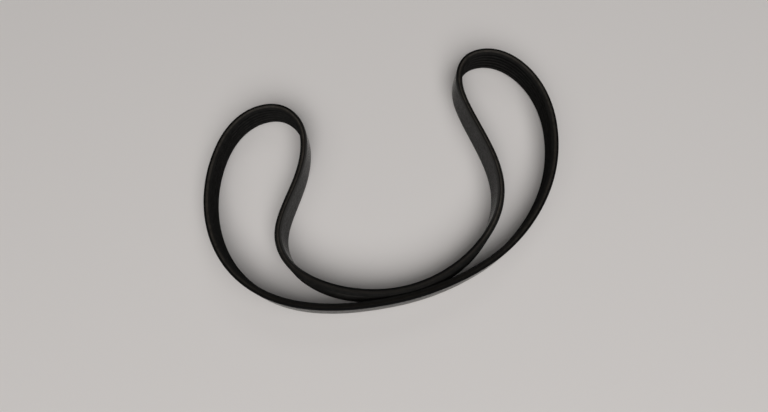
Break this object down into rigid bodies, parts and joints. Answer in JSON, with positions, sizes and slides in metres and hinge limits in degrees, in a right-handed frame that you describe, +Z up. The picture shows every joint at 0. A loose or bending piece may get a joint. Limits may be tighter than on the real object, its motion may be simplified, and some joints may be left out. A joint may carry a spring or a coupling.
{
  "type": "serpentine belt",
  "caption": "Endless multi-rib rubber accessory drive belt, lying on its edge in a relaxed kidney shape, smooth back outside and V ribs inside.",
  "frame": {"origin": "centre of the loop's outline, on the surface that the belt stands on", "axes": "+Z up, from the lower cut edge to the upper one; +X along the longest extent, from the smaller round lobe to the taller one; +Y towards the tops of the lobes"},
  "size_m": [0.2342, 0.1833, 0.0214],
  "materials": {
    "rubber": "matt black rubber, slightly glossy where the smooth back is seen at a low angle"
  },
  "bodies": {
    "root": {"serpentine_belt": "rubber"}
  },
  "joints": []
}
